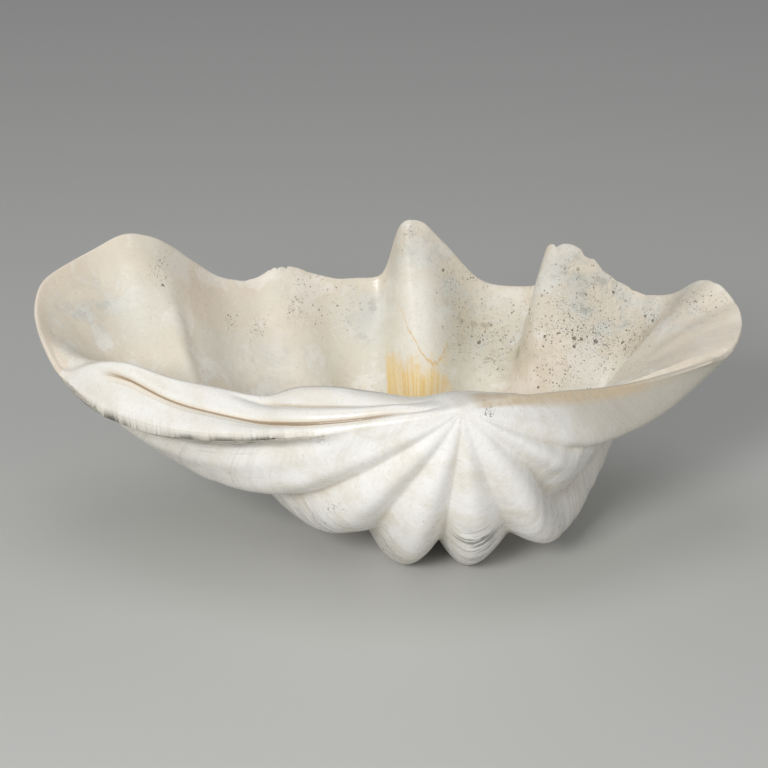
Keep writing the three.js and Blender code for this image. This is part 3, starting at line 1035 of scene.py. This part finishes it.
def inside_colour(n, m, f):
    """Cream, warmer and whiter in patches, grey where it is weathered, with the amber stain."""
    cloudy, mottled = f["cloudy"], f["mottled"]
    colour = n.mix(n.step(f["broad"], 0.38, 0.62), CREAM, PALE_CREAM)
    colour = n.mix(n.step(cloudy, 0.5, 0.62, 0.0, 0.8), colour, CHALK)
    colour = n.mix(n.step(mottled, 0.56, 0.72, 0.0, 0.5), colour, BRIGHT_CHALK)
    colour = n.mix(n.step(mottled, 0.42, 0.3, 0.0, 0.35), colour, DULL_CREAM)
    colour = n.mix(n.times(m["warm"], n.step(cloudy, 0.3, 0.6, 0.35, 0.9)), colour, WARM_CREAM)
    grey = n.times(m["clouds"], n.step(cloudy, 0.36, 0.62))
    colour = n.mix(n.times(grey, 0.85), colour, CLOUD_GREY)
    colour = n.mix(n.times(grey, n.step(mottled, 0.5, 0.62, 0.0, 0.7)), colour, SPECKLE_GREY)
    dirty = n.times(m["dirt"], n.step(cloudy, 0.62, 0.36))
    colour = n.mix(n.times(dirty, 0.8), colour, DIRT_TAN)
    colour = n.mix(n.times(dirty, n.step(mottled, 0.5, 0.36, 0.0, 0.7)), colour, DIRT_BROWN)
    # a whiter patch on the far wall above the stain
    colour = n.mix(n.times(m["whiter_patch"], 0.7), colour, PATCH_WHITE)
    amber = n.mix(n.step(f["fine_rays"], 0.35, 0.7), AMBER, PALE_AMBER)
    streaked = n.math("ADD", mottled, f["rays"])
    soaked = n.math("MULTIPLY_ADD", streaked, 0.9, n.math("SUBTRACT", m["stain"], 0.9))
    colour = n.mix(n.step(soaked, 0.1, 0.8, 0.0, 0.95), colour, amber)
    return n.mix(water_line(n, m), colour, WATER_YELLOW)


def water_line(n, m):
    """The thin yellow contour that an old water level left over the stain."""
    off = n.math("SUBTRACT", m["fan"], WATER_FAN)
    level = n.math("MULTIPLY_ADD", n.times(off, off), WATER_CURVE, WATER_REACH)
    ragged = n.noise(n.join(n.times(m["fan"], 32), 0.0, 11.0), 1.0, 4, 0.7)
    away = n.math("SUBTRACT", n.math("MULTIPLY_ADD", ragged, WATER_RAGGED, m["reach"]), level)
    line = n.step(n.math("ABSOLUTE", away), *WATER_EDGE, WATER_STRENGTH, 0.0)
    ends = n.times(n.step(m["fan"], *WATER_LEFT), n.step(m["fan"], *WATER_RIGHT, 1.0, 0.0))
    return n.times(line, ends)


def outside_colour(n, m, f):
    """White, with greyish growth lines, painted shade in the grooves, a right end that is dull and partly
    painted shade, and a tan lip that is partly painted shade.
    """
    fan, reach, cloudy = m["fan"], m["reach"], f["cloudy"]
    colour = n.mix(n.step(cloudy, 0.4, 0.68), OUTER_WHITE, OUTER_CREAM)
    colour = n.mix(n.step(reach, 0.3, 0.7, 0.0, 0.55), colour, RIMWARD_CREAM)
    grown = n.times(n.step(reach, 0.25, 0.6, 0.06, 0.3), n.step(fan, 5.2, 6.2, 1.0, 0.15))
    colour = n.mix(n.times(n.step(f["growth"], 0.5, 0.62), grown), colour, DULL_AND_SHADE_TAUPE)
    # the right end turns darker taupe: partly its own dull, pitted surface and partly painted shade of the
    # side that faces away from the lamps
    dull_and_shaded_right = n.times(n.step(fan, 5.4, 6.4, 0.0, 0.8), n.step(reach, 0.12, 0.6))
    colour = n.mix(dull_and_shaded_right, colour, DULL_AND_SHADE_TAUPE)
    # painted shade: a tan darkening along the grooves between the ribs, fading in away from the beak and
    # patchy with noise
    groove = n.step(n.math("ABSOLUTE", n.math("SINE", n.times(fan, math.pi))), 0.0, 0.5, 1.0, 0.0)
    shade = n.times(n.step(reach, 0.12, 0.3), n.step(cloudy, 0.3, 0.6, 0.15, 0.5))
    colour = n.mix(n.times(groove, shade), colour, GROOVE_SHADE_TAN)
    arcs = n.times(m["growth_stain"], n.step(f["growth"], 0.5, 0.56, 0.0, 0.8))
    colour = n.mix(arcs, colour, ARC_GREY)
    # tan lip: partly the shell's own tan, partly painted shade in the hollow under the lip
    colour = n.mix(n.times(m["lip"], n.step(f["mottled"], 0.3, 0.6, 0.5, 0.9)), colour, LIP_TAN_AND_SHADE)
    colour = n.mix(n.times(m["frayed"], 0.45), colour, FRAYED_CREAM)
    gaps = n.times(m["frayed"], n.step(f["leaves"], 0.38, 0.5, 0.7, 0.0))
    colour = n.mix(gaps, colour, FRAYED_SHADE)
    scratch = n.times(m["scratched"], n.step(f["fine_rays"], 0.3, 0.38, 0.55, 0.0))
    return n.mix(scratch, colour, SCRATCH_GREY)


def plate_line(n, m, at, wide, share):
    """A line along the ligament groove, at a distance from it in millimetres."""
    away = n.math("ABSOLUTE", n.math("SUBTRACT", m["ligament"], at))
    line = n.step(away, 0.25 * wide, wide, share, 0.0)
    ends = n.times(n.step(m["reach"], 0.05, 0.2), n.step(m["reach"], 0.74, 0.84, 1.0, 0.0))
    return n.times(n.times(line, ends), m["plate"])


def plate_colour(n, m, f, colour):
    """Near white on the hinge plate, with the brown line along the ligament groove, partly painted shadow
    under the ridge's step.
    """
    plate_white = n.mix(n.step(f["cloudy"], 0.35, 0.7), PLATE_WHITE, PLATE_CREAM)
    colour = n.mix(m["plate"], colour, plate_white)
    for at, wide, share, line_colour in PLATE_LINES:
        colour = n.mix(plate_line(n, m, at, wide, share), colour, line_colour)
    tooth = n.step(n.math("ABSOLUTE", m["tooth"]), 0.5, 3.5, 1.0, 0.0)
    tooth = n.times(tooth, n.step(m["reach"], 0.34, 0.46, 0.6, 0.0))
    return n.mix(n.times(tooth, m["plate"]), colour, TOOTH_TAN)


def shell_colour(n, m, f):
    """The shell's colour from its marks, without its pits."""
    colour = n.mix(n.step(m["layer"], 0.5, 0.95), outside_colour(n, m, f), inside_colour(n, m, f))
    colour = n.mix(n.times(m["margin"], 0.7), colour, MARGIN_CREAM)
    colour = plate_colour(n, m, f, colour)
    colour = n.mix(n.step(f["smudge"], 0.62, 0.72, 0.0, 0.3), colour, SMUDGE)
    return n.mix(n.step(f["grain"], 0.52, 0.8, 0.0, 0.22), colour, GRAIN_TAN)


def shell_pits(n, m, place):
    """Borer holes of three sizes, thick where the marks say so."""
    off_plate = n.math("SUBTRACT", 1.0, m["plate"])
    amount = n.math("MULTIPLY_ADD", m["pits"], 0.5, n.times(off_plate, PITS_EVERYWHERE))
    amount = n.times(amount, n.step(n.noise(place, 32, 2, 0.5), 0.38, 0.62, 0.35, 1.5))
    holes = 0.0
    for scale, bend, far, offset, share, size, deep in PIT_SIZES:
        pits = n.pits(n.bent(place, bend, far, offset), scale, n.times(amount, share), size)
        holes = n.math("MAXIMUM", holes, n.times(pits, deep))
    return holes


def shell_material():
    """Polished old shell: cream and white, with stain, clouds, pits and growth lines."""
    material = bpy.data.materials.new("polished_shell")
    n = Nodes(material)
    m = {name: n.mark(name) for name in MARKS}
    f = noise_fields(n, m)
    holes = shell_pits(n, m, f["place"])
    grain = n.noise(f["place"], 160, 4, 0.6)
    lines = n.noise(n.join(n.times(m["reach"], 120), m["fan"], 9.0), 1.0, 3, 0.6)
    height = n.times(grain, GRAIN_BUMP)
    outer_lines = n.times(lines, n.step(m["layer"], 0.0, 0.3, 1.0, 0.0))
    height = n.math("MULTIPLY_ADD", outer_lines, LINE_BUMP, height)
    height = n.math("MULTIPLY_ADD", n.times(f["leaves"], m["frayed"]), LEAF_BUMP, height)
    height = n.math("MULTIPLY_ADD", holes, PIT_BUMP, height)
    weathered = n.math("MAXIMUM", m["clouds"], n.math("MAXIMUM", m["frayed"], holes))
    n.surface(
        Base_Color=n.mix(n.times(holes, 0.85), shell_colour(n, m, f), PIT_BROWN),
        Roughness=n.math("MULTIPLY_ADD", weathered, 0.25, n.step(grain, 0.3, 0.7, 0.25, 0.38)),
        Coat_Weight=0.25,
        Coat_Roughness=0.1,
        Normal=n.bump(height),
    )
    return material


def floor_material():
    material = bpy.data.materials.new("pale_floor")
    Nodes(material).surface(Base_Color=FLOOR_GREY, Roughness=0.6)
    return material


# the studio, in metres
FLOOR_SIDE = 8.0
# name, place, point that it faces, side, power in watts
LIGHTS = [
    ("key", (-1.1, -2.65, 1.6), (0, 0, 0.12), (0.9, 0.9), 62),
    ("fill", (1.7, -2.1, 1.5), (0, 0, 0.15), (1.6, 1.6), 11),
    ("overhead", (-0.2, 0.2, 2.4), (0, 0, 0.1), (1.6, 1.2), 8),
]
SKY = (0.95, 0.97, 1.0, 1.0)
SKY_STRENGTH = 0.3
# the camera looks down along +Y at a point of the shell's own frame, and its picture is as
# wide as this there
CAMERA_DOWN = math.radians(22.0)
CAMERA_AWAY = 2.6
CAMERA_AIM = np.array([0.0, 0.0, 140.0])
PICTURE_WIDTH = 0.768
SENSOR_WIDTH = 36.0


def build_floor():
    mesh = bpy.data.meshes.new("studio_floor")
    far = FLOOR_SIDE
    mesh.from_pydata([(-far, -far, 0), (far, -far, 0), (far, far, 0), (-far, far, 0)], [], [(0, 1, 2, 3)])
    mesh.materials.append(floor_material())
    floor = bpy.data.objects.new("studio_floor", mesh)
    bpy.context.scene.collection.objects.link(floor)


def area_light(name, place, aim, size, power):
    data = bpy.data.lights.new(name, "AREA")
    data.shape = "RECTANGLE"
    data.size, data.size_y = size
    data.energy = power
    light = bpy.data.objects.new(name, data)
    light.location = place
    light.rotation_euler = (Vector(aim) - Vector(place)).to_track_quat("-Z", "Y").to_euler()
    bpy.context.scene.collection.objects.link(light)


def build_light():
    world = bpy.data.worlds.new("studio_world")
    world.use_nodes = True
    background = world.node_tree.nodes["Background"]
    background.inputs["Color"].default_value = SKY
    background.inputs["Strength"].default_value = SKY_STRENGTH
    bpy.context.scene.world = world
    for light in LIGHTS:
        area_light(*light)


def build_camera():
    """The photograph's view."""
    aim = Vector((CAMERA_AIM + TO_FRAME) * MM)
    data = bpy.data.cameras.new("camera")
    data.sensor_width = SENSOR_WIDTH
    data.lens = SENSOR_WIDTH * CAMERA_AWAY / PICTURE_WIDTH
    camera = bpy.data.objects.new("camera", data)
    camera.location = aim - Vector((0, math.cos(CAMERA_DOWN), -math.sin(CAMERA_DOWN))) * CAMERA_AWAY
    camera.rotation_euler = (math.pi / 2 - CAMERA_DOWN, 0, 0)
    bpy.context.scene.collection.objects.link(camera)
    bpy.context.scene.camera = camera


build_camera()
build_light()
build_floor()
shell = build_shell(shell_material())
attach(shell, "root")
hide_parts("clam_valve")

bpy.context.scene.view_settings.view_transform = "Standard"
bpy.context.view_layer.update()
